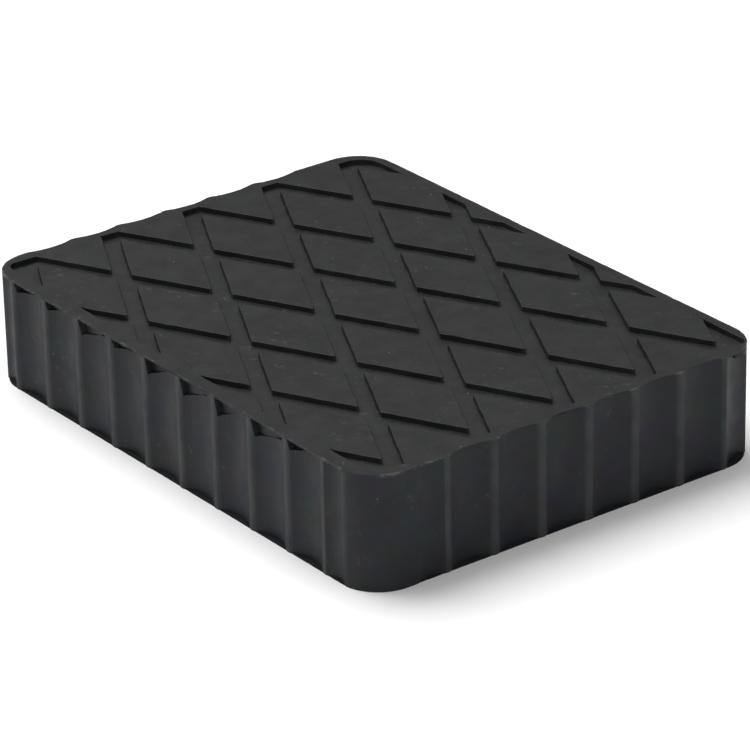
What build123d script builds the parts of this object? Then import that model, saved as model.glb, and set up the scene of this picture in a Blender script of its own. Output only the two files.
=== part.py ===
"""Rubber pad for a vehicle lift.

One moulded block of hard rubber. Its sides carry upright flutes that end under a thin
lip, and its top has a tread of lozenges parted by two families of crossing channels.
The block rests on its flat underside, with the origin at the middle of that face.
"""

import os
from math import ceil, cos, radians, sin

from build123d import *

# Block
pad_length = 160.0
pad_width = 120.0
pad_height = 30.0
corner_radius = 11.0
lip_thickness = 0.8

# Flutes: each is an arc scooped out between two narrow ribs
rib_width = 1.2
rib_radius = 1.2
flute_depth = 1.7
scallop_depth = 1.1
# Ribs start this far from each end of a side, and the pitch is evened out between them
flute_pitch = 14.3
ribbed_corner_long_setback = 12.1
ribbed_corner_short_setback = 12.35
blunt_corner_long_setback = 17.35
blunt_corner_short_setback = 22.75

# Narrower flutes that lead round the corners, with a rib on two of the corner arcs
corner_flute_depth = 0.9
corner_rib_angle = 37.0
blunt_corner_long_run = 8.6
blunt_corner_short_run = 9.4

# Tread
border_width = 3.4
tread_depth = 1.5
tread_centre = (0.0, 0.8)
cell_length = 51.6
cell_width = 25.2
lozenge_length = 40.6
lozenge_width = 20.8
lozenge_corner_radius = 0.4
ribbed_recess_radius = 2.5
blunt_recess_radius = 7.0

half_length = pad_length / 2
half_width = pad_width / 2
straight_half_length = half_length - corner_radius
straight_half_width = half_width - corner_radius
lip_base = pad_height - lip_thickness


def arc_radius(chord, depth):
    """Radius of the arc that spans a chord at a given depth."""
    return (chord * chord / 4 + depth * depth) / (2 * depth)


def scoop(start, end, depth):
    """Cut one flute into the section between two rib crests, on the inner side of the line."""
    span = Vector(*end) - Vector(*start)
    middle = (Vector(*end) + Vector(*start)) / 2
    outward = Vector(span.Y, -span.X).normalized()
    radius = arc_radius(span.length - rib_width, depth)
    with Locations(middle + outward * (radius - depth)):
        Circle(radius, mode=Mode.SUBTRACT)


def rounded_corner_point(angle):
    """A point on the corner arc at -X -Y, turned by an angle from the long side."""
    return (
        -half_length + corner_radius - corner_radius * sin(radians(angle)),
        -half_width + corner_radius - corner_radius * cos(radians(angle)),
    )


long_first_rib = ribbed_corner_long_setback - half_length
long_last_rib = half_length - blunt_corner_long_setback
long_side_flutes = round((long_last_rib - long_first_rib) / flute_pitch)
long_side_pitch = (long_last_rib - long_first_rib) / long_side_flutes
long_side_centre = (long_first_rib + long_last_rib) / 2
short_first_rib = blunt_corner_short_setback - half_width
short_last_rib = half_width - ribbed_corner_short_setback
short_side_flutes = round((short_last_rib - short_first_rib) / flute_pitch)
short_side_pitch = (short_last_rib - short_first_rib) / short_side_flutes
short_side_centre = (short_first_rib + short_last_rib) / 2
long_arc = arc_radius(long_side_pitch - rib_width, flute_depth)
short_arc = arc_radius(short_side_pitch - rib_width, flute_depth)
scallop_arc = arc_radius(short_side_pitch - rib_width, scallop_depth)
corner_rib = rounded_corner_point(corner_rib_angle)

recess_length = pad_length - 2 * border_width
recess_width = pad_width - 2 * border_width
half_columns = ceil(recess_length / cell_length)
half_rows = ceil(recess_width / cell_width)
diagonal = Axis((0, 0, 0), (1, 1, 0))
lozenge = (
    (-lozenge_length / 2, 0),
    (0, -lozenge_width / 2),
    (lozenge_length / 2, 0),
    (0, lozenge_width / 2),
)
# Lozenges in staggered rows, with the recess left open at its four corners
lozenge_centres = [
    (column * cell_length / 2, row * cell_width / 2)
    for column in range(-half_columns, half_columns + 1)
    for row in range(-half_rows, half_rows + 1)
    if (column + row) % 2 == 0
    and not (
        abs(column) * cell_length > recess_length - ribbed_recess_radius
        and abs(row) * cell_width > recess_width - ribbed_recess_radius
    )
]

with BuildPart() as rubber_pad:
    # Fluted body, with the same pattern on opposite sides by a half turn
    with BuildSketch() as body_section:
        RectangleRounded(pad_length, pad_width, corner_radius)
        with PolarLocations(0, 2):
            with Locations((long_side_centre, -half_width - long_arc + flute_depth)):
                with GridLocations(long_side_pitch, 0, long_side_flutes, 1):
                    Circle(long_arc, mode=Mode.SUBTRACT)
            with Locations((half_length + short_arc - flute_depth, short_side_centre)):
                with GridLocations(0, short_side_pitch, 1, short_side_flutes):
                    Circle(short_arc, mode=Mode.SUBTRACT)
            scoop((-half_length, -short_last_rib), corner_rib, corner_flute_depth)
            scoop(corner_rib, (long_first_rib, -half_width), corner_flute_depth)
            scoop(
                (long_last_rib, -half_width),
                (long_last_rib + blunt_corner_long_run, -half_width),
                corner_flute_depth,
            )
            scoop(
                (half_length, short_first_rib - blunt_corner_short_run),
                (half_length, short_first_rib),
                corner_flute_depth,
            )
    extrude(amount=lip_base)
    upright_edges = rubber_pad.edges().filter_by(Axis.Z)
    long_side_ribs = upright_edges.filter_by_position(
        Axis.X, -straight_half_length, straight_half_length
    )
    short_side_ribs = upright_edges.filter_by_position(
        Axis.Y, -straight_half_width, straight_half_width, inclusive=(False, False)
    )
    fillet(long_side_ribs + short_side_ribs, rib_radius)
    # Lip: straight along the long sides, gently scalloped along the short ones
    with BuildSketch(Plane.XY.offset(lip_base)) as lip_section:
        RectangleRounded(pad_length, pad_width, corner_radius)
        with PolarLocations(0, 2):
            with Locations((half_length + scallop_arc - scallop_depth, short_side_centre)):
                with GridLocations(0, short_side_pitch, 1, short_side_flutes):
                    Circle(scallop_arc, mode=Mode.SUBTRACT)
    extrude(amount=lip_thickness)
    # Tread: the channels are what the lozenges and the border leave over
    with BuildSketch(Plane.XY.offset(pad_height)) as channels:
        with Locations(tread_centre):
            Rectangle(recess_length, recess_width)
            fillet(channels.vertices().sort_by(diagonal)[1:3], blunt_recess_radius)
            fillet(channels.vertices().sort_by(diagonal)[0], ribbed_recess_radius)
            fillet(channels.vertices().sort_by(diagonal)[-1], ribbed_recess_radius)
            with Locations(*lozenge_centres):
                Polygon(*lozenge, mode=Mode.SUBTRACT)
        inner_corners = channels.vertices().filter_by_position(
            Axis.X, -recess_length / 2 + border_width, recess_length / 2 - border_width
        )
        inner_corners = inner_corners.filter_by_position(
            Axis.Y, -recess_width / 2 + border_width, recess_width / 2 - border_width
        )
        fillet(inner_corners, lozenge_corner_radius)
    extrude(amount=-tread_depth, mode=Mode.SUBTRACT)

rubber_pad.part.label = "rubber_pad"

os.makedirs("parts", exist_ok=True)
export_step(rubber_pad.part, "parts/rubber_pad.step")
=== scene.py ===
from math import ceil, cos, pi, radians, sin

import bmesh
import bpy
from mathutils import Matrix, Vector, noise


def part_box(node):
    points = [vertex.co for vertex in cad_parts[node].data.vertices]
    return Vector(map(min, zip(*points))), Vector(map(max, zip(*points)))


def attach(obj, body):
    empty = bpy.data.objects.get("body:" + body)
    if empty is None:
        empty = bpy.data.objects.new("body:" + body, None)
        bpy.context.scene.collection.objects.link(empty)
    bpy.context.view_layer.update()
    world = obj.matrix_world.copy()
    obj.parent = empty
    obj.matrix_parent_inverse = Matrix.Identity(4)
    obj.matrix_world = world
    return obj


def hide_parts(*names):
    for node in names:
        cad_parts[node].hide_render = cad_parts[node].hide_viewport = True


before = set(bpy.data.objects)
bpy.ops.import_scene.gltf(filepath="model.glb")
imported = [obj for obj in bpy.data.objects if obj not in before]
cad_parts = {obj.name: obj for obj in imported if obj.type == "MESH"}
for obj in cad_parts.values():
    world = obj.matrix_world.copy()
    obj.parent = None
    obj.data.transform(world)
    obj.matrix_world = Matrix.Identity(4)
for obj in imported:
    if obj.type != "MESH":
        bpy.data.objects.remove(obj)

bl_info = {
    "name": "Lift Rubber Pad",
    "version": (1, 0, 0),
    "blender": (4, 5, 0),
    "location": "3D View > Sidebar > Rubber Pad",
    "description": "Dresses a moulded rubber lift pad and sets its studio",
    "category": "Object",
}

MM = 0.001
BOX_LOW, BOX_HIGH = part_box("rubber_pad")
PAD_LENGTH = BOX_HIGH[0] - BOX_LOW[0]
PAD_WIDTH = BOX_HIGH[1] - BOX_LOW[1]
PAD_HEIGHT = BOX_HIGH[2] - BOX_LOW[2]
HALF_LENGTH = PAD_LENGTH / 2
HALF_WIDTH = PAD_WIDTH / 2
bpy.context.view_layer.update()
# Points nearer to a level than this lie on it
ON_LEVEL = 0.01 * MM
# A wall's normal rises or falls by less than this
UPRIGHT = 0.1
# The recess of the tread lies at least this far inside the block's outline
TREAD_INSET = 2 * MM
# How far the two corners without ribs reach along a long and a short side
BLUNT_LONG = 17 * MM
BLUNT_SHORT = 22 * MM


# ---------------------------------------------------------------- settings


class PadSettings(bpy.types.PropertyGroup):
    edge_rounding: bpy.props.FloatProperty(
        name="Edge Rounding",
        description="How far the top and foot of a channel's wall are eased",
        default=0.14 * MM,
        unit="LENGTH",
        precision=5,
    )
    sharp_angle: bpy.props.FloatProperty(
        name="Sharp Angle",
        description="Edges that turn by more than this stay crisp",
        default=radians(50),
        subtype="ANGLE",
    )
    corner_radius: bpy.props.FloatProperty(
        name="Corner Radius",
        description="Radius of the block's four upright corners",
        default=11 * MM,
        unit="LENGTH",
        precision=5,
    )
    lip_thickness: bpy.props.FloatProperty(
        name="Lip Thickness",
        description="Height of the lip that closes the flutes",
        default=0.8 * MM,
        unit="LENGTH",
        precision=5,
    )
    lip_edge: bpy.props.FloatProperty(
        name="Lip Edge",
        description="Thickness that the lip thins to over the flutes",
        default=0.4 * MM,
        unit="LENGTH",
        precision=5,
    )
    tread_depth: bpy.props.FloatProperty(
        name="Tread Depth",
        description="Depth of the channels between the lozenges",
        default=1.5 * MM,
        unit="LENGTH",
        precision=5,
    )
    tread_draft: bpy.props.FloatProperty(
        name="Tread Draft",
        description="How far the foot of a channel's wall stands out from its top",
        default=0.12 * MM,
        unit="LENGTH",
        precision=5,
    )
    wall_wander: bpy.props.FloatProperty(
        name="Wall Wander",
        description="How far the channels' walls wander from a straight line",
        default=0.22 * MM,
        unit="LENGTH",
        precision=5,
    )
    lip_wear: bpy.props.FloatProperty(
        name="Lip Wear",
        description="How far the lip's edge wanders inwards",
        default=0.3 * MM,
        unit="LENGTH",
        precision=5,
    )
    lip_step: bpy.props.FloatProperty(
        name="Lip Step",
        description="Distance between the points of the worn edge",
        default=1.3 * MM,
        unit="LENGTH",
        precision=5,
    )


class NickSettings(bpy.types.PropertyGroup):
    count: bpy.props.IntProperty(
        name="Count",
        description="Nicks under the lip of one long side",
        default=9,
    )
    first: bpy.props.FloatProperty(
        name="First",
        description="Distance from the end of the side to the first nick's rib",
        default=12.1 * MM,
        unit="LENGTH",
        precision=5,
    )
    pitch: bpy.props.FloatProperty(
        name="Pitch",
        description="Distance between the ribs of a long side",
        default=14.505 * MM,
        unit="LENGTH",
        precision=5,
    )
    width: bpy.props.FloatProperty(
        name="Width",
        description="Length of a full nick along the lip",
        default=10.5 * MM,
        unit="LENGTH",
        precision=5,
    )
    drop: bpy.props.FloatProperty(
        name="Drop",
        description="How far a full nick reaches below the lip",
        default=4.4 * MM,
        unit="LENGTH",
        precision=5,
    )
    depth: bpy.props.FloatProperty(
        name="Depth",
        description="How far a full nick reaches into the block",
        default=2.0 * MM,
        unit="LENGTH",
        precision=5,
    )
    raggedness: bpy.props.FloatProperty(
        name="Raggedness",
        description="Unevenness of a nick's edges",
        default=0.45 * MM,
        unit="LENGTH",
        precision=5,
    )


# The dark film round the foot is a painted shadow in the mouths of the flutes, where the floor
# lies in shade
class ShadowFilmSettings(bpy.types.PropertyGroup):
    width: bpy.props.FloatProperty(
        name="Width",
        description="Width of the film of flash round the foot",
        default=5 * MM,
        unit="LENGTH",
        precision=5,
    )
    thickness: bpy.props.FloatProperty(
        name="Thickness",
        description="Thickness of the film",
        default=0.16 * MM,
        unit="LENGTH",
        precision=5,
    )
    raggedness: bpy.props.FloatProperty(
        name="Raggedness",
        description="How far the film's edge wanders inwards",
        default=0.25 * MM,
        unit="LENGTH",
        precision=5,
    )


class RubberSettings(bpy.types.PropertyGroup):
    top_colour: bpy.props.FloatVectorProperty(
        name="Tread Colour",
        description="Colour of the rubber on the tread",
        default=(0.0131, 0.0139, 0.0136),
        subtype="COLOR",
        size=3,
    )
    side_colour: bpy.props.FloatVectorProperty(
        name="Side Colour",
        description="Colour of the rubber on the fluted sides",
        default=(0.0122, 0.0147, 0.0184),
        subtype="COLOR",
        size=3,
    )
    # Also the colour of the painted highlights on the lip's edge and the ribs' crests
    dust_and_highlight_colour: bpy.props.FloatVectorProperty(
        name="Dust Colour",
        description="Colour of dust, bloom and fresh scuffs",
        default=(0.11, 0.115, 0.11),
        subtype="COLOR",
        size=3,
    )
    roughness: bpy.props.FloatProperty(
        name="Roughness",
        description="Roughness of the clean rubber",
        default=0.52,
        subtype="FACTOR",
        min=0,
        max=1,
    )


class StageSettings(bpy.types.PropertyGroup):
    camera_azimuth: bpy.props.FloatProperty(
        name="Camera Azimuth",
        description="Turn of the camera from the long side towards +X",
        default=radians(53.41),
        subtype="ANGLE",
    )
    camera_elevation: bpy.props.FloatProperty(
        name="Camera Elevation",
        description="Height of the camera above the floor, as an angle",
        default=radians(25.09),
        subtype="ANGLE",
    )
    camera_roll: bpy.props.FloatProperty(
        name="Camera Roll",
        description="Turn of the camera about its own axis",
        default=radians(-1.27),
        subtype="ANGLE",
    )
    camera_distance: bpy.props.FloatProperty(
        name="Camera Distance",
        description="Distance from the camera to the middle of the underside",
        default=1.1177,
        unit="LENGTH",
    )
    camera_side_step: bpy.props.FloatProperty(
        name="Camera Side Step",
        description="Slide of the camera to its own right",
        default=1.53 * MM,
        unit="LENGTH",
        precision=5,
    )
    camera_lift: bpy.props.FloatProperty(
        name="Camera Lift",
        description="Slide of the camera along its own upright",
        default=9.47 * MM,
        unit="LENGTH",
        precision=5,
    )
    camera_lens: bpy.props.FloatProperty(
        name="Camera Lens",
        description="Focal length on a 36 mm sensor",
        default=215.46,
        min=1.0,
    )
    key_power: bpy.props.FloatProperty(
        name="Key Power",
        description="Power of the large soft box above the pad, a little to its left",
        default=21,
        unit="POWER",
    )
    left_power: bpy.props.FloatProperty(
        name="Left Power",
        description="Power of the small soft box low on the left",
        default=1.0,
        unit="POWER",
    )
    right_power: bpy.props.FloatProperty(
        name="Right Power",
        description="Power of the small soft box low on the right",
        default=1.2,
        unit="POWER",
    )
    low_light: bpy.props.FloatProperty(
        name="Low Light",
        description="Brightness of the surroundings near the horizon",
        default=0.13,
    )
    high_light: bpy.props.FloatProperty(
        name="High Light",
        description="Brightness of the surroundings overhead",
        default=0.8,
    )
    floor_shade: bpy.props.FloatProperty(
        name="Floor Shade",
        description="How pale the floor is",
        default=0.86,
        subtype="FACTOR",
    )


# ---------------------------------------------------------------- materials


def new_material(name):
    material = bpy.data.materials.new(name)
    material.use_nodes = True
    tree = material.node_tree
    tree.nodes.clear()
    output = tree.nodes.new("ShaderNodeOutputMaterial")
    shader = tree.nodes.new("ShaderNodeBsdfPrincipled")
    tree.links.new(shader.outputs["BSDF"], output.inputs["Surface"])
    return material, tree, shader


def add_node(tree, kind, inputs=None, **values):
    """Add a node, set its properties, and set or link its inputs by name or number."""
    node = tree.nodes.new(kind)
    for name, value in values.items():
        setattr(node, name, value)
    for name, value in (inputs or {}).items():
        if isinstance(value, bpy.types.NodeSocket):
            tree.links.new(value, node.inputs[name])
        else:
            node.inputs[name].default_value = value
    return node


def maths(tree, operation, first, second=0.0, clamp=False):
    """One Math node, with the second input left at zero unless it is given."""
    node = add_node(tree, "ShaderNodeMath", {0: first, 1: second}, operation=operation)
    node.use_clamp = clamp
    return node.outputs[0]


def scaled(tree, value, factor, offset):
    """The value times a factor, plus an offset."""
    inputs = {0: value, 1: factor, 2: offset}
    return add_node(tree, "ShaderNodeMath", inputs, operation="MULTIPLY_ADD").outputs[0]


def vector_maths(tree, operation, first, second=(0, 0, 0)):
    node = add_node(tree, "ShaderNodeVectorMath", {0: first, 1: second}, operation=operation)
    return node.outputs[0]


def scaled_vector(tree, vector, factor):
    inputs = {0: vector, "Scale": factor}
    return add_node(tree, "ShaderNodeVectorMath", inputs, operation="SCALE").outputs[0]


def split(tree, vector):
    """The X, Y and Z sockets of a vector."""
    return add_node(tree, "ShaderNodeSeparateXYZ", {"Vector": vector}).outputs


def mix_colours(tree, factor, first, second, blend="MIX"):
    node = tree.nodes.new("ShaderNodeMix")
    node.data_type = "RGBA"
    node.blend_type = blend
    for index, value in ((0, factor), (6, first), (7, second)):
        if isinstance(value, bpy.types.NodeSocket):
            tree.links.new(value, node.inputs[index])
        else:
            node.inputs[index].default_value = value
    return node.outputs[2]


def smooth_step(tree, value, low, high):
    node = add_node(
        tree,
        "ShaderNodeMapRange",
        {"Value": value, "From Min": low, "From Max": high},
        interpolation_type="SMOOTHSTEP",
    )
    return node.outputs["Result"]


def noise_value(tree, place, size, detail=2.0, roughness=0.5, distortion=0.0):
    """Noise whose features are about the given size in metres."""
    node = add_node(
        tree,
        "ShaderNodeTexNoise",
        {
            "Vector": place,
            "Scale": 1 / size,
            "Detail": detail,
            "Roughness": roughness,
            "Distortion": distortion,
        },
    )
    return node.outputs["Fac"]


def new_group(name, inputs, outputs):
    """Start a shader node group with named sockets."""
    group = bpy.data.node_groups.new(name, "ShaderNodeTree")
    for socket, kind, default in inputs:
        item = group.interface.new_socket(socket, in_out="INPUT", socket_type=kind)
        if default is not None:
            item.default_value = default
    for socket, kind in outputs:
        group.interface.new_socket(socket, in_out="OUTPUT", socket_type=kind)
    return group, group.nodes.new("NodeGroupInput"), group.nodes.new("NodeGroupOutput")


def place_group(tree, group, **inputs):
    node = tree.nodes.new("ShaderNodeGroup")
    node.node_tree = group
    for name, value in inputs.items():
        socket = node.inputs[name.replace("_", " ")]
        if isinstance(value, bpy.types.NodeSocket):
            tree.links.new(value, socket)
        else:
            socket.default_value = value
    return node


def moulded_grain_group():
    """Fine pitted skin of moulded rubber over a slow swell."""
    group, inlet, outlet = new_group(
        "Moulded Grain",
        [("Place", "NodeSocketVector", None), ("Swell", "NodeSocketFloat", 1.0)],
        [("Height", "NodeSocketFloat"), ("Patches", "NodeSocketFloat")],
    )
    grain_share, ripple_share = 0.10, 0.35
    place = inlet.outputs["Place"]
    grain = noise_value(group, place, 0.35 * MM, detail=3, roughness=0.6)
    ripple = noise_value(group, place, 2.2 * MM, detail=2)
    swell = noise_value(group, place, 11 * MM, detail=2)
    swell = maths(group, "MULTIPLY", swell, inlet.outputs["Swell"])
    ripple = maths(group, "MULTIPLY", ripple, ripple_share)
    grain = maths(group, "MULTIPLY", grain, grain_share)
    height = maths(group, "ADD", maths(group, "ADD", grain, ripple), swell)
    group.links.new(height, outlet.inputs["Height"])
    patches = noise_value(group, place, 7 * MM, detail=4, roughness=0.62, distortion=0.15)
    group.links.new(patches, outlet.inputs["Patches"])
    return group


def handling_marks_group():
    """Pale smears and specks of dust left by handling."""
    group, inlet, outlet = new_group(
        "Handling Marks",
        [("Place", "NodeSocketVector", None)],
        [("Smears", "NodeSocketFloat"), ("Specks", "NodeSocketFloat")],
    )
    place = inlet.outputs["Place"]
    blotches = noise_value(group, place, 2.2 * MM, detail=4, roughness=0.7, distortion=0.3)
    regions = noise_value(group, place, 17 * MM, detail=2)
    smears = smooth_step(group, blotches, 0.57, 0.74)
    smears = maths(group, "MULTIPLY", smears, smooth_step(group, regions, 0.42, 0.62))
    group.links.new(smears, outlet.inputs["Smears"])

    speck_pitch, bare_share = 3.4 * MM, 0.80
    speck_rim, speck_core = 0.085, 0.03
    cells = add_node(group, "ShaderNodeTexVoronoi", {"Vector": place, "Scale": 1 / speck_pitch})
    spots = smooth_step(group, cells.outputs["Distance"], speck_rim, speck_core)
    parts = add_node(group, "ShaderNodeSeparateColor", {"Color": cells.outputs["Color"]})
    chosen = maths(group, "GREATER_THAN", parts.outputs["Red"], bare_share)
    specks = maths(group, "MULTIPLY", spots, chosen)
    group.links.new(specks, outlet.inputs["Specks"])
    return group


def distance_outside(group, place, half_size, radius):
    """Distance out of the block's rounded outline, negative inside it."""
    inner = add_node(group, "ShaderNodeCombineXYZ", {"X": radius, "Y": radius}).outputs[0]
    beyond = vector_maths(group, "SUBTRACT", vector_maths(group, "ABSOLUTE", place), half_size)
    beyond = vector_maths(group, "MAXIMUM", vector_maths(group, "ADD", beyond, inner))
    flat = vector_maths(group, "MULTIPLY", beyond, (1, 1, 0))
    length = add_node(group, "ShaderNodeVectorMath", {0: flat}, operation="LENGTH")
    return maths(group, "SUBTRACT", length.outputs["Value"], radius)


def away_from_blunt_corners(group, place):
    """One over the ribbed part of the sides, zero at the two corners without ribs."""
    sides = split(group, place)
    reach = split(group, vector_maths(group, "ABSOLUTE", place))
    by_corner = maths(
        group,
        "MULTIPLY",
        maths(group, "GREATER_THAN", reach["X"], HALF_LENGTH - BLUNT_LONG),
        maths(group, "GREATER_THAN", reach["Y"], HALF_WIDTH - BLUNT_SHORT),
    )
    blunt = maths(group, "LESS_THAN", maths(group, "MULTIPLY", sides["X"], sides["Y"]))
    return maths(group, "SUBTRACT", 1.0, maths(group, "MULTIPLY", by_corner, blunt))


def lip_zones_group():
    """Masks for the lip's rubbed edge, where wear is partly a painted glint, the tread inside it
    and the ribs' crests, which carry a painted highlight.
    """
    group, inlet, outlet = new_group(
        "Lip Zones",
        [
            ("Place", "NodeSocketVector", None),
            ("Half Size", "NodeSocketVector", None),
            ("Corner Radius", "NodeSocketFloat", 0.01),
            ("Reach", "NodeSocketFloat", 0.0005),
        ],
        [
            ("Wear", "NodeSocketFloat"),
            ("Tread", "NodeSocketFloat"),
            ("Crest", "NodeSocketFloat"),
        ],
    )
    place = inlet.outputs["Place"]
    half_size = inlet.outputs["Half Size"]
    reach = inlet.outputs["Reach"]
    height = split(group, place)["Z"]
    outside = distance_outside(group, place, half_size, inlet.outputs["Corner Radius"])

    # Pale patches on the lip's edge: wear, and partly a painted glint where the ragged edge
    # catches the light
    near_edge = smooth_step(group, maths(group, "DIVIDE", outside, reach), -1.0, -0.25)
    below_top = maths(group, "SUBTRACT", height, split(group, half_size)["Z"])
    near_top = smooth_step(group, maths(group, "DIVIDE", below_top, reach), -1.3, -0.4)
    rubbed_and_glinting = noise_value(group, place, 5 * MM, detail=4, roughness=0.75)
    rubbed_and_glinting = smooth_step(group, rubbed_and_glinting, 0.46, 0.62)
    wear_and_glint = maths(group, "MULTIPLY", maths(group, "MULTIPLY", near_edge, near_top), rubbed_and_glinting)
    group.links.new(wear_and_glint, outlet.inputs["Wear"])

    # The ribs' crests get pale patches: a painted highlight where the rounded crests catch the
    # light, partly scuffing
    crest_foot, crest_top = -0.55 * MM, -0.05 * MM
    least_scuff_and_highlight = 0.4
    crest = smooth_step(group, outside, crest_foot, crest_top)
    crest = maths(group, "MULTIPLY", crest, away_from_blunt_corners(group, place))
    scuff_and_highlight = smooth_step(group, noise_value(group, place, 9 * MM, detail=3), 0.3, 0.6)
    scuff_and_highlight = scaled(group, scuff_and_highlight, 1 - least_scuff_and_highlight, least_scuff_and_highlight)
    group.links.new(maths(group, "MULTIPLY", crest, scuff_and_highlight), outlet.inputs["Crest"])

    inside = maths(group, "LESS_THAN", outside, -TREAD_INSET)
    above = maths(group, "GREATER_THAN", height, PAD_HEIGHT - 2 * MM)
    group.links.new(maths(group, "MULTIPLY", inside, above), outlet.inputs["Tread"])
    return group


def tinted(tree, place, upward, colour):
    """The colour under a slow drift of tints, stronger on the sides than on the tread."""
    side_strength, tread_strength = 0.5, 0.18
    drift = add_node(
        tree, "ShaderNodeTexNoise", {"Vector": place, "Scale": 1 / (6 * MM), "Detail": 1.0}
    )
    strength = scaled(tree, upward, tread_strength - side_strength, side_strength)
    return mix_colours(tree, strength, colour, drift.outputs["Color"], blend="OVERLAY")


def dust_and_highlight_cover(tree, place, zones, upward, channel_wall):
    """How much of the rubber shows pale: dust, bloom and scuffs, plus painted highlights on the
    lip's edge and the ribs' crests, which are partly wear.
    """
    smear_cover, speck_cover, wear_and_glint_cover, crest_cover = 0.3, 0.9, 0.5, 0.24
    marks = place_group(tree, handling_marks_group(), Place=place)
    smears = maths(tree, "MULTIPLY", marks.outputs["Smears"], smear_cover)
    specks = maths(tree, "MULTIPLY", marks.outputs["Specks"], speck_cover)
    pale_cover = maths(tree, "MAXIMUM", smears, specks)
    pale_cover = maths(tree, "SUBTRACT", pale_cover, channel_wall, clamp=True)
    # Wear on the lip's edge, partly a painted glint
    wear_and_glint = maths(tree, "MULTIPLY", zones.outputs["Wear"], wear_and_glint_cover)
    # Painted highlight on the ribs' crests, partly scuffing, kept off the tread
    crest = maths(tree, "MULTIPLY", zones.outputs["Crest"], crest_cover)
    crest = maths(tree, "MULTIPLY", crest, maths(tree, "SUBTRACT", 1.0, upward))
    return maths(tree, "MAXIMUM", pale_cover, maths(tree, "MAXIMUM", wear_and_glint, crest))


def add_bump(tree, shader, height, distance):
    bump = add_node(
        tree, "ShaderNodeBump", {"Height": height, "Strength": 0.3, "Distance": distance}
    )
    tree.links.new(bump.outputs["Normal"], shader.inputs["Normal"])


def rubber_material(settings):
    """Black rubber, bluish at the sides and neutral on the tread, with dust and scuffs and pale
    painted highlights on the lip's edge and the ribs' crests.
    """
    material, tree, shader = new_material("Black Rubber")
    coordinates = tree.nodes.new("ShaderNodeTexCoord")
    place = coordinates.outputs["Object"]
    zones = place_group(
        tree,
        lip_zones_group(),
        Place=place,
        Half_Size=(HALF_LENGTH, HALF_WIDTH, PAD_HEIGHT),
        Corner_Radius=bpy.context.scene.pad_settings.corner_radius,
        Reach=0.7 * MM,
    )
    facing_up = smooth_step(tree, split(tree, coordinates.outputs["Normal"])["Z"], 0.5, 0.9)
    upward = maths(tree, "MAXIMUM", facing_up, zones.outputs["Tread"])
    channel_wall = maths(tree, "SUBTRACT", upward, facing_up)
    grain = place_group(tree, moulded_grain_group(), Place=place, Swell=0.45)
    patches = smooth_step(tree, grain.outputs["Patches"], 0.3, 0.75)

    darkest_patch, patch_range = 0.82, 0.36
    colour = mix_colours(tree, upward, (*settings.side_colour, 1), (*settings.top_colour, 1))
    colour = tinted(tree, place, upward, colour)
    shade = scaled(tree, patches, patch_range, darkest_patch)
    colour = mix_colours(tree, 1.0, colour, shade, blend="MULTIPLY")
    # Pale cover: dust and scuffs, with the painted highlights on the lip's edge and the ribs'
    # crests
    pale_cover = dust_and_highlight_cover(tree, place, zones, upward, channel_wall)
    colour = mix_colours(tree, pale_cover, colour, (*settings.dust_and_highlight_colour, 1))
    tree.links.new(colour, shader.inputs["Base Color"])

    patch_roughness, dust_roughness = 0.14, 0.3
    rough = scaled(tree, patches, patch_roughness, settings.roughness - patch_roughness / 2)
    dry = maths(tree, "MULTIPLY", pale_cover, dust_roughness)
    rough = maths(tree, "ADD", rough, dry, clamp=True)
    tree.links.new(rough, shader.inputs["Roughness"])
    shader.inputs["Specular IOR Level"].default_value = 0.22
    add_bump(tree, shader, grain.outputs["Height"], 0.35 * MM)
    return material


def shadow_film_material(settings):
    """Duller, darker rubber of the thin film at the foot: a painted shadow that darkens the
    mouths of the flutes, where the floor lies in shade.
    """
    material, tree, shader = new_material("Flash Rubber")
    place = tree.nodes.new("ShaderNodeTexCoord").outputs["Object"]
    skin = bpy.data.node_groups.get("Moulded Grain") or moulded_grain_group()
    grain = place_group(tree, skin, Place=place, Swell=0.3)
    patches = smooth_step(tree, grain.outputs["Patches"], 0.3, 0.7)
    # Darkened shares of the side colour, so that the film paints the shadow in the flutes' mouths
    dark, light = (
        (*(share * value for value in settings.side_colour), 1) for share in (0.45, 0.75)
    )
    tree.links.new(mix_colours(tree, patches, dark, light), shader.inputs["Base Color"])
    rough = scaled(tree, patches, 0.1, settings.roughness + 0.15)
    tree.links.new(rough, shader.inputs["Roughness"])
    shader.inputs["Specular IOR Level"].default_value = 0.12
    add_bump(tree, shader, grain.outputs["Height"], 0.3 * MM)
    return material


# ---------------------------------------------------------------- pad


def to_plain_mesh(piece):
    """Apply every modifier, so that what is left is a plain mesh."""
    evaluated = piece.evaluated_get(bpy.context.evaluated_depsgraph_get())
    finished = bpy.data.meshes.new_from_object(evaluated)
    piece.modifiers.clear()
    piece.data = finished
    finished.name = piece.name


def link_new(name, mesh):
    piece = bpy.data.objects.new(name, mesh)
    bpy.context.scene.collection.objects.link(piece)
    return piece


def at_corner(place):
    inset = 5 * MM
    return abs(place.x) > HALF_LENGTH - inset and abs(place.y) > HALF_WIDTH - inset


def inside_tread(place):
    return (
        abs(place.x) < HALF_LENGTH - TREAD_INSET and abs(place.y) < HALF_WIDTH - TREAD_INSET
    )


def by_outline(place):
    """True near the block's outline, which lies further in at its rounded corners."""
    return (
        abs(place.x) > HALF_LENGTH - TREAD_INSET
        or abs(place.y) > HALF_WIDTH - TREAD_INSET
        or at_corner(place)
    )


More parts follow.
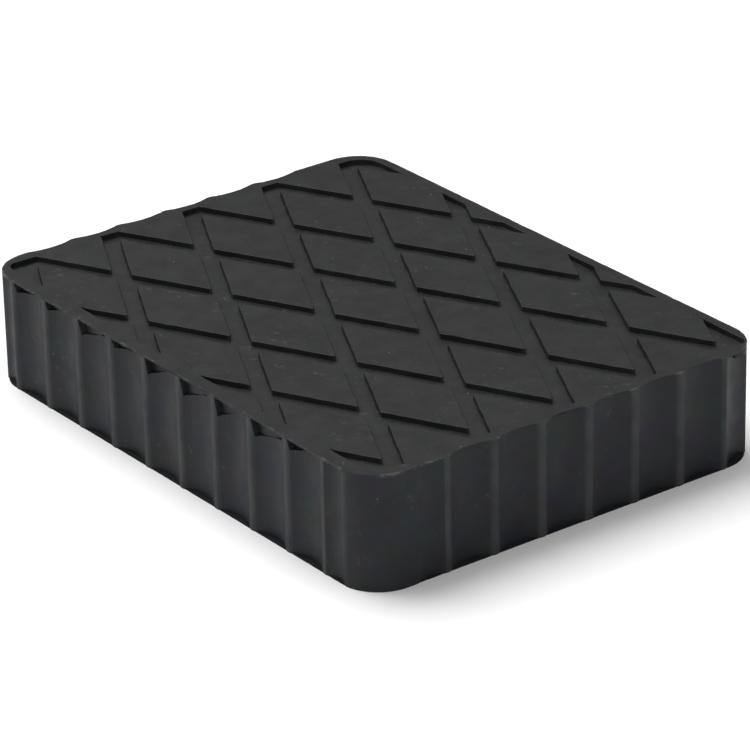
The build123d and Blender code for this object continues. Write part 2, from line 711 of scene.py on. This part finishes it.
def on_lip_edge(edge):
    """True for the edges that run round the outline of the lip."""
    if min(v.co.z for v in edge.verts) < PAD_HEIGHT - ON_LEVEL:
        return False
    middle = (edge.verts[0].co + edge.verts[1].co) / 2
    outward = Vector((middle.x, middle.y, 0))
    return any(
        abs(face.normal.z) < 0.5 and face.normal.dot(outward) > 0 for face in edge.link_faces
    ) and all(by_outline(v.co) for v in edge.verts)


def wear_lip(work, settings):
    """Divide the lip's edge and let it wander inwards, with a few deeper chips."""
    for edge in [e for e in work.edges if on_lip_edge(e)]:
        cuts = ceil(edge.calc_length() / settings.lip_step) - 1
        if cuts > 0:
            bmesh.ops.subdivide_edges(work, edges=[edge], cuts=cuts)
    worn = {vertex for edge in work.edges if on_lip_edge(edge) for vertex in edge.verts}
    for vertex in worn:
        place = vertex.co / MM
        slow = max(0.0, noise.noise(place * 0.22))
        quick = max(0.0, noise.noise(place * 0.9 + Vector((7, 3, 1))))
        chip = max(0.0, noise.noise(place * 0.45 + Vector((31, 17, 5))) - 0.5) * 2.5
        squared_off = Vector((vertex.co.x / HALF_LENGTH**3, vertex.co.y / HALF_WIDTH**3, 0))
        inward = -squared_off.normalized()
        vertex.co += inward * settings.lip_wear * (0.5 * slow + 0.6 * quick + chip)
        vertex.co.z -= settings.lip_wear * 0.5 * chip


def nick_tool():
    """A wedge, one unit long, deep and high, that cuts one nick into the block."""
    # Its mouth, along the lip and downwards from it
    mouth = [(0.0, 0.02), (0.02, -0.2), (0.09, -1.0), (0.5, -0.8), (0.97, -0.4), (1.02, 0.02)]
    stands_out = 0.15
    rear_length, rear_start, rear_height = 0.94, 0.02, 0.8
    front = [(x, -stands_out, z) for x, z in mouth]
    rear = [(x * rear_length + rear_start, 1.0, z * rear_height) for x, z in mouth]
    count = len(mouth)
    faces = [tuple(range(count)), tuple(reversed(range(count, 2 * count)))]
    for index in range(count):
        following = (index + 1) % count
        faces.append((following, index, index + count, following + count))
    mesh = bpy.data.meshes.new("nick_tool")
    mesh.from_pydata(front + rear, [], faces)
    work = bmesh.new()
    work.from_mesh(mesh)
    bmesh.ops.recalc_face_normals(work, faces=work.faces)
    work.to_mesh(mesh)
    work.free()
    return link_new("nick_tool", mesh)


def new_geometry_tree(name, inputs):
    tree = bpy.data.node_groups.new(name, "GeometryNodeTree")
    tree.is_modifier = True
    tree.interface.new_socket("Geometry", in_out="INPUT", socket_type="NodeSocketGeometry")
    tree.interface.new_socket("Geometry", in_out="OUTPUT", socket_type="NodeSocketGeometry")
    for socket, kind in inputs:
        tree.interface.new_socket(socket, in_out="INPUT", socket_type=kind)
    return tree, tree.nodes.new("NodeGroupInput"), tree.nodes.new("NodeGroupOutput")


def add_geometry_modifier(piece, tree, values):
    """Add the tree to a piece and set its inputs by their sockets' identifiers."""
    modifier = piece.modifiers.new(tree.name, "NODES")
    modifier.node_group = tree
    for item in tree.interface.items_tree:
        if item.in_out == "INPUT" and item.name in values:
            modifier[item.identifier] = values[item.name]


def nicks_tree():
    """Cut a row of uneven nicks under the lip of both long sides."""
    tree, inlet, outlet = new_geometry_tree(
        "Lip Nicks",
        [
            ("Tool", "NodeSocketObject"),
            ("Count", "NodeSocketInt"),
            ("Start", "NodeSocketVector"),
            ("Pitch", "NodeSocketFloat"),
            ("Size", "NodeSocketVector"),
            ("Raggedness", "NodeSocketFloat"),
            ("Seed", "NodeSocketInt"),
            ("Material", "NodeSocketMaterial"),
        ],
    )
    offset = add_node(tree, "ShaderNodeCombineXYZ", {"X": inlet.outputs["Pitch"]})
    tool = add_node(tree, "GeometryNodeObjectInfo", {"Object": inlet.outputs["Tool"]})
    tool = add_node(
        tree, "GeometryNodeSubdivideMesh", {"Mesh": tool.outputs["Geometry"], "Level": 2}
    )
    # Shares of a full nick's length, depth and drop
    smallest, largest = (0.7, 0.8, 0.5), (1.15, 1.0, 1.2)
    seed_step = 10.0
    rows = []
    for row, turn in enumerate((0.0, pi)):
        line = add_node(
            tree,
            "GeometryNodeMeshLine",
            {
                "Count": inlet.outputs["Count"],
                "Start Location": inlet.outputs["Start"],
                "Offset": offset.outputs[0],
            },
        )
        seed = maths(tree, "ADD", inlet.outputs["Seed"], row * seed_step)
        scale = add_node(
            tree,
            "FunctionNodeRandomValue",
            {"Min": smallest, "Max": largest, "Seed": seed},
            data_type="FLOAT_VECTOR",
        )
        size = vector_maths(tree, "MULTIPLY", scale.outputs["Value"], inlet.outputs["Size"])
        placed = add_node(
            tree,
            "GeometryNodeInstanceOnPoints",
            {"Points": line.outputs["Mesh"], "Instance": tool.outputs["Mesh"], "Scale": size},
        )
        turned = add_node(
            tree,
            "GeometryNodeTransform",
            {"Geometry": placed.outputs["Instances"], "Rotation": (0.0, 0.0, turn)},
        )
        rows.append(turned.outputs["Geometry"])
    joined = tree.nodes.new("GeometryNodeJoinGeometry")
    for row in rows:
        tree.links.new(row, joined.inputs["Geometry"])
    cutters = add_node(tree, "GeometryNodeRealizeInstances", {"Geometry": joined.outputs[0]})
    unevenness = add_node(tree, "ShaderNodeTexNoise", {"Scale": 1 / (1.1 * MM), "Detail": 1.0})
    centred = vector_maths(tree, "SUBTRACT", unevenness.outputs["Color"], (0.5, 0.5, 0.5))
    shift = scaled_vector(tree, centred, inlet.outputs["Raggedness"])
    cutters = add_node(
        tree,
        "GeometryNodeSetPosition",
        {"Geometry": cutters.outputs["Geometry"], "Offset": shift},
    )
    cut = add_node(tree, "GeometryNodeMeshBoolean", operation="DIFFERENCE", solver="EXACT")
    tree.links.new(inlet.outputs["Geometry"], cut.inputs["Mesh 1"])
    tree.links.new(cutters.outputs["Geometry"], cut.inputs["Mesh 2"])
    whole = add_node(tree, "GeometryNodeRealizeInstances", {"Geometry": cut.outputs["Mesh"]})
    dressed = add_node(
        tree,
        "GeometryNodeSetMaterial",
        {"Geometry": whole.outputs["Geometry"], "Material": inlet.outputs["Material"]},
    )
    tree.links.new(dressed.outputs["Geometry"], outlet.inputs["Geometry"])
    return tree


def foot_shadow_film_tree():
    """A thin dark film round the foot, straight across the mouths of the flutes, that paints the
    shadow in them.
    """
    tree, inlet, outlet = new_geometry_tree(
        "Foot Flash",
        [
            ("Length", "NodeSocketFloat"),
            ("Width", "NodeSocketFloat"),
            ("Corner Radius", "NodeSocketFloat"),
            ("Film Width", "NodeSocketFloat"),
            ("Thickness", "NodeSocketFloat"),
            ("Raggedness", "NodeSocketFloat"),
            ("Material", "NodeSocketMaterial"),
        ],
    )
    outline = add_node(
        tree,
        "GeometryNodeCurvePrimitiveQuadrilateral",
        {"Width": inlet.outputs["Length"], "Height": inlet.outputs["Width"]},
    )
    rounded = add_node(
        tree,
        "GeometryNodeFilletCurve",
        {"Curve": outline.outputs[0], "Radius": inlet.outputs["Corner Radius"], "Count": 12},
        mode="POLY",
    )
    points = add_node(
        tree,
        "GeometryNodeResampleCurve",
        {"Curve": rounded.outputs[0], "Length": 1.2 * MM},
        mode="LENGTH",
    )
    unevenness = add_node(tree, "ShaderNodeTexNoise", {"Scale": 1 / (2.5 * MM), "Detail": 2.0})
    inset = maths(tree, "MULTIPLY", unevenness.outputs["Fac"], inlet.outputs["Raggedness"])
    place = tree.nodes.new("GeometryNodeInputPosition")
    outward = vector_maths(tree, "NORMALIZE", place.outputs[0])
    shift = scaled_vector(tree, outward, maths(tree, "MULTIPLY", inset, -1.0))
    worn = add_node(
        tree, "GeometryNodeSetPosition", {"Geometry": points.outputs[0], "Offset": shift}
    )
    section = add_node(
        tree,
        "GeometryNodeCurvePrimitiveQuadrilateral",
        {"Width": inlet.outputs["Film Width"], "Height": inlet.outputs["Thickness"]},
    )
    inwards = maths(tree, "MULTIPLY", inlet.outputs["Film Width"], -0.5)
    upwards = maths(tree, "MULTIPLY", inlet.outputs["Thickness"], -0.5)
    move = add_node(tree, "ShaderNodeCombineXYZ", {"X": inwards, "Y": upwards})
    section = add_node(
        tree,
        "GeometryNodeTransform",
        {"Geometry": section.outputs[0], "Translation": move.outputs[0]},
    )
    film = add_node(
        tree,
        "GeometryNodeCurveToMesh",
        {"Curve": worn.outputs[0], "Profile Curve": section.outputs[0], "Fill Caps": False},
    )
    whole = add_node(tree, "GeometryNodeRealizeInstances", {"Geometry": film.outputs[0]})
    dressed = add_node(
        tree,
        "GeometryNodeSetMaterial",
        {"Geometry": whole.outputs["Geometry"], "Material": inlet.outputs["Material"]},
    )
    tree.links.new(dressed.outputs["Geometry"], outlet.inputs["Geometry"])
    return tree


def thin_lip(work, settings):
    """Let the flutes run up closer to the top, so that only a thin lip closes them."""
    lip_base = PAD_HEIGHT - settings.lip_thickness
    for vertex in work.verts:
        if abs(vertex.co.z - lip_base) < ON_LEVEL:
            vertex.co.z = PAD_HEIGHT - settings.lip_edge


def add_corner_web(web, turn, centre, inner, heights):
    """A quarter ring with a short straight, by the recess's corner arc, in millimetres."""
    outer, straight = 3.1, 2.2
    angles = [radians(degrees) for degrees in range(0, 91, 15)]
    outline = [(inner, -straight)] + [(inner * cos(a), inner * sin(a)) for a in angles]
    outline += [(outer * cos(a), outer * sin(a)) for a in reversed(angles)]
    outline += [(outer, -straight)]
    turned = Matrix.Rotation(turn, 3, "Z")
    low, high = (
        [
            web.verts.new(turned @ Vector((centre[0] + x, centre[1] + y, height)) * MM)
            for x, y in outline
        ]
        for height in heights
    )
    web.faces.new(reversed(low))
    web.faces.new(high)
    for index, vertex in enumerate(low):
        following = (index + 1) % len(low)
        web.faces.new((vertex, low[following], high[following], high[index]))


def with_closed_corners(mesh):
    """The mesh with the wall between tread and last flute whole at both ribbed corners."""
    block = link_new("moulded_block", mesh)
    floor = (PAD_HEIGHT - bpy.context.scene.pad_settings.tread_depth) / MM
    # In millimetres: the arc in the recess's corner, then the turn and centre of each arc
    recess_radius = 2.5
    corners = ((0, (74.1, 54.9)), (pi, (74.1, 53.3)))
    base = (recess_radius - 1.0, (floor - 1.5, floor))
    wall = (recess_radius, (floor - 0.5, 29.8))
    web = bmesh.new()
    for turn, centre in corners:
        for inner, heights in (base, wall):
            add_corner_web(web, turn, centre, inner, heights)
    tool = link_new("corner_web", bpy.data.meshes.new("corner_web"))
    web.to_mesh(tool.data)
    web.free()
    union = block.modifiers.new("Corner Web", "BOOLEAN")
    union.operation = "UNION"
    union.solver = "EXACT"
    union.use_self = True
    union.object = tool
    to_plain_mesh(block)
    bpy.data.objects.remove(tool)
    return block


def roughen_channels(work, settings):
    """Divide the channels' walls and let them wander a little, as worn rubber does."""
    levels = (PAD_HEIGHT - settings.tread_depth, PAD_HEIGHT)
    longest = 2.5 * MM
    waves_per_millimetre = 0.4
    for face in [f for f in work.faces if len(f.verts) == 4 and abs(f.normal.z) < UPRIGHT]:
        ends = [e for e in face.edges if abs(e.verts[0].co.z - e.verts[1].co.z) < ON_LEVEL]
        heights = {round(e.verts[0].co.z / MM, 1) for e in ends}
        if len(ends) != 2 or heights != {round(level / MM, 1) for level in levels}:
            continue
        cuts = ceil(max(e.calc_length() for e in ends) / longest) - 1
        if cuts > 0:
            bmesh.ops.subdivide_edges(work, edges=ends, cuts=cuts, use_grid_fill=True)
    for vertex in work.verts:
        place = vertex.co
        if not inside_tread(place) or min(abs(place.z - level) for level in levels) > ON_LEVEL:
            continue
        wave = place / MM * waves_per_millimetre
        shift = Vector((noise.noise(wave), noise.noise(wave + Vector((9, 4, 2))), 0))
        vertex.co += shift * settings.wall_wander


def soften_channels(work, settings):
    """Slope the channels' walls, as the mould needs, and ease their top and foot."""
    floor = PAD_HEIGHT - settings.tread_depth
    middle = PAD_HEIGHT - settings.tread_depth / 2
    ease = settings.edge_rounding
    walls = [
        face
        for face in work.faces
        if abs(face.normal.z) < UPRIGHT
        and all(inside_tread(v.co) and v.co.z > floor - 0.1 * MM for v in face.verts)
    ]
    uprights = {
        edge
        for face in walls
        for edge in face.edges
        if abs(edge.verts[0].co.z - edge.verts[1].co.z) > settings.tread_depth / 2
    }
    # Keyed by place, because dividing the edges makes new vertices of the old ones
    moves = {}
    for edge in uprights:
        normals = [face.normal.copy() for face in edge.link_faces if abs(face.normal.z) < UPRIGHT]
        together = sum(normals, Vector())
        outward = together / max(together.dot(normals[0]), 0.6)
        outward.z = 0
        for vertex in edge.verts:
            distance = -ease if vertex.co.z > middle else settings.tread_draft
            moves[vertex.co.copy().freeze()] = outward * distance
    made = bmesh.ops.subdivide_edges(work, edges=list(uprights), cuts=2, use_grid_fill=True)
    for vertex in {v for v in made["geom_inner"] if isinstance(v, bmesh.types.BMVert)}:
        vertex.co.z = PAD_HEIGHT - ease if vertex.co.z > middle else floor + ease
    for vertex in work.verts:
        vertex.co += moves.get(vertex.co.copy().freeze(), Vector())


def shape_channels(mesh, settings):
    """Thin the lip, and give the channels of the tread their worn and drafted walls."""
    work = bmesh.new()
    work.from_mesh(mesh)
    bmesh.ops.remove_doubles(work, verts=work.verts, dist=1e-6)
    bmesh.ops.dissolve_limit(
        work, angle_limit=radians(0.5), verts=work.verts, edges=work.edges
    )
    thin_lip(work, settings)
    roughen_channels(work, settings)
    soften_channels(work, settings)
    work.to_mesh(mesh)
    work.free()


def cut_nicks(block, pad, nicks, material):
    tool = nick_tool()
    past_rib = 0.6 * MM
    values = {
        "Tool": tool,
        "Count": nicks.count,
        "Start": (nicks.first - HALF_LENGTH + past_rib, -HALF_WIDTH, PAD_HEIGHT - pad.lip_edge),
        "Pitch": nicks.pitch,
        "Size": (nicks.width, nicks.depth, nicks.drop),
        "Raggedness": nicks.raggedness,
        "Seed": 4,
        "Material": material,
    }
    add_geometry_modifier(block, nicks_tree(), values)
    to_plain_mesh(block)
    bpy.data.objects.remove(tool)


def finish_edges(block, settings):
    """Wear the lip, keep the crisp edges crisp and shade the rest smooth."""
    work = bmesh.new()
    work.from_mesh(block.data)
    bmesh.ops.remove_doubles(work, verts=work.verts, dist=0.002 * MM)
    wear_lip(work, settings)
    work.normal_update()
    for edge in work.edges:
        closed = len(edge.link_faces) == 2
        edge.smooth = closed and edge.calc_face_angle() < settings.sharp_angle
    for face in work.faces:
        face.smooth = True
    work.to_mesh(block.data)
    work.free()
    weighted = block.modifiers.new("Weighted Normals", "WEIGHTED_NORMAL")
    weighted.keep_sharp = True
    weighted.weight = 60
    to_plain_mesh(block)


def moulded_block(pad, nicks, material):
    """The block's own skin, with its flat faces whole, its lip worn and its edges eased."""
    block = with_closed_corners(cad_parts["rubber_pad"].data.copy())
    shape_channels(block.data, pad)
    cut_nicks(block, pad, nicks, material)
    finish_edges(block, pad)
    return block


def foot_flash(pad, flash, material):
    """Dark film at the foot, open in the middle, that paints the shadow in the mouths of the
    flutes.
    """
    film = link_new("foot_flash", bpy.data.meshes.new("foot_flash"))
    inset = 0.15 * MM
    values = {
        "Length": PAD_LENGTH - inset,
        "Width": PAD_WIDTH - inset,
        "Corner Radius": pad.corner_radius,
        "Film Width": flash.width,
        "Thickness": flash.thickness,
        "Raggedness": flash.raggedness,
        "Material": material,
    }
    add_geometry_modifier(film, foot_shadow_film_tree(), values)
    to_plain_mesh(film)
    return film


class RUBBERPAD_OT_block(bpy.types.Operator):
    """Build the moulded block with a worn lip, nicks and eased channels"""

    bl_idname = "rubber_pad.block"
    bl_label = "Moulded Block"

    def execute(self, context):
        scene = context.scene
        material = rubber_material(scene.rubber_settings)
        block = moulded_block(scene.pad_settings, scene.nick_settings, material)
        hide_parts("rubber_pad")
        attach(block, "root")
        return {"FINISHED"}


class RUBBERPAD_OT_shadow_film(bpy.types.Operator):
    """Lay the dark film round the foot of the block that paints the shadow in the flutes' mouths
    """

    bl_idname = "rubber_pad.flash"
    bl_label = "Foot Flash"

    def execute(self, context):
        scene = context.scene
        material = shadow_film_material(scene.rubber_settings)
        film = foot_flash(scene.pad_settings, scene.flash_settings, material)
        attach(film, "root")
        return {"FINISHED"}


# ---------------------------------------------------------------- stage


def studio_camera(settings):
    azimuth, elevation, roll = (
        settings.camera_azimuth,
        settings.camera_elevation,
        settings.camera_roll,
    )
    back = Vector((sin(azimuth) * cos(elevation), -cos(azimuth) * cos(elevation), sin(elevation)))
    level = Vector((cos(azimuth), sin(azimuth), 0))
    upright = back.cross(level)
    right = level * cos(roll) + upright * sin(roll)
    up = upright * cos(roll) - level * sin(roll)
    place = (
        back * settings.camera_distance
        + right * settings.camera_side_step
        + up * settings.camera_lift
    )
    data = bpy.data.cameras.new("Studio Camera")
    data.sensor_width = 36
    data.lens = settings.camera_lens
    data.clip_end = 20
    camera = bpy.data.objects.new("Studio Camera", data)
    turn = Matrix((right, up, back)).transposed().to_4x4()
    camera.matrix_world = Matrix.Translation(place) @ turn
    bpy.context.scene.collection.objects.link(camera)
    bpy.context.scene.camera = camera


def studio_world(settings):
    """Soft surroundings, brighter overhead than low down."""
    world = bpy.data.worlds.new("Studio World")
    bpy.context.scene.world = world
    world.use_nodes = True
    tree = world.node_tree
    tree.nodes.clear()
    output = tree.nodes.new("ShaderNodeOutputWorld")
    background = tree.nodes.new("ShaderNodeBackground")
    coordinates = tree.nodes.new("ShaderNodeTexCoord")
    height = smooth_step(tree, split(tree, coordinates.outputs["Generated"])["Z"], 0.2, 0.9)
    low, high = ((*(light,) * 3, 1) for light in (settings.low_light, settings.high_light))
    glow = mix_colours(tree, height, low, high)
    tree.links.new(glow, background.inputs["Color"])
    background.inputs["Strength"].default_value = 1
    tree.links.new(background.outputs[0], output.inputs["Surface"])


def studio_lamp(name, place, size, power):
    """A square soft box that looks at the pad."""
    data = bpy.data.lights.new(name, "AREA")
    data.shape = "SQUARE"
    data.size = size
    data.energy = power
    lamp = bpy.data.objects.new(name, data)
    aim = (-Vector(place)).to_track_quat("-Z", "Y").to_matrix().to_4x4()
    lamp.matrix_world = Matrix.Translation(place) @ aim
    bpy.context.scene.collection.objects.link(lamp)


def studio_floor(settings):
    half = 3.0
    corners = [(-half, -half, 0), (half, -half, 0), (half, half, 0), (-half, half, 0)]
    mesh = bpy.data.meshes.new("floor")
    mesh.from_pydata(corners, [], [(0, 1, 2, 3)])
    floor = link_new("floor", mesh)
    material, tree, shader = new_material("Pale Floor")
    shade = settings.floor_shade
    shader.inputs["Base Color"].default_value = (shade, shade, shade, 1)
    shader.inputs["Roughness"].default_value = 0.9
    shader.inputs["Specular IOR Level"].default_value = 0.1
    mesh.materials.append(material)


class RUBBERPAD_OT_stage(bpy.types.Operator):
    """Lay the floor, set the light and place the camera"""

    bl_idname = "rubber_pad.stage"
    bl_label = "Studio"

    def execute(self, context):
        settings = context.scene.stage_settings
        studio_world(settings)
        studio_floor(settings)
        for name, place, size, power in (
            ("Key Lamp", (-0.6, -0.15, 1.35), 1.0, settings.key_power),
            ("Left Lamp", (-0.75, -0.95, 0.5), 0.6, settings.left_power),
            ("Right Lamp", (0.85, -0.45, 0.22), 0.5, settings.right_power),
        ):
            studio_lamp(name, place, size, power)
        studio_camera(settings)
        context.scene.view_settings.view_transform = "Standard"
        return {"FINISHED"}


# ---------------------------------------------------------------- panel and registration


class RUBBERPAD_PT_panel(bpy.types.Panel):
    """Lists the operators that build the pad"""

    bl_label = "Rubber Pad"
    bl_idname = "RUBBERPAD_PT_panel"
    bl_space_type = "VIEW_3D"
    bl_region_type = "UI"
    bl_category = "Rubber Pad"

    def draw(self, context):
        for operator in OPERATORS:
            self.layout.operator(operator.bl_idname)


SETTINGS = {
    "pad_settings": PadSettings,
    "nick_settings": NickSettings,
    "flash_settings": ShadowFilmSettings,
    "rubber_settings": RubberSettings,
    "stage_settings": StageSettings,
}
OPERATORS = (RUBBERPAD_OT_block, RUBBERPAD_OT_shadow_film, RUBBERPAD_OT_stage)


def register():
    for name, group in SETTINGS.items():
        bpy.utils.register_class(group)
        setattr(bpy.types.Scene, name, bpy.props.PointerProperty(type=group))
    for operator in OPERATORS:
        bpy.utils.register_class(operator)
    bpy.utils.register_class(RUBBERPAD_PT_panel)


def unregister():
    bpy.utils.unregister_class(RUBBERPAD_PT_panel)
    for operator in reversed(OPERATORS):
        bpy.utils.unregister_class(operator)
    for name, group in reversed(SETTINGS.items()):
        delattr(bpy.types.Scene, name)
        bpy.utils.unregister_class(group)


def main():
    register()
    bpy.ops.rubber_pad.block()
    bpy.ops.rubber_pad.flash()
    bpy.ops.rubber_pad.stage()


if __name__ == "__main__":
    main()
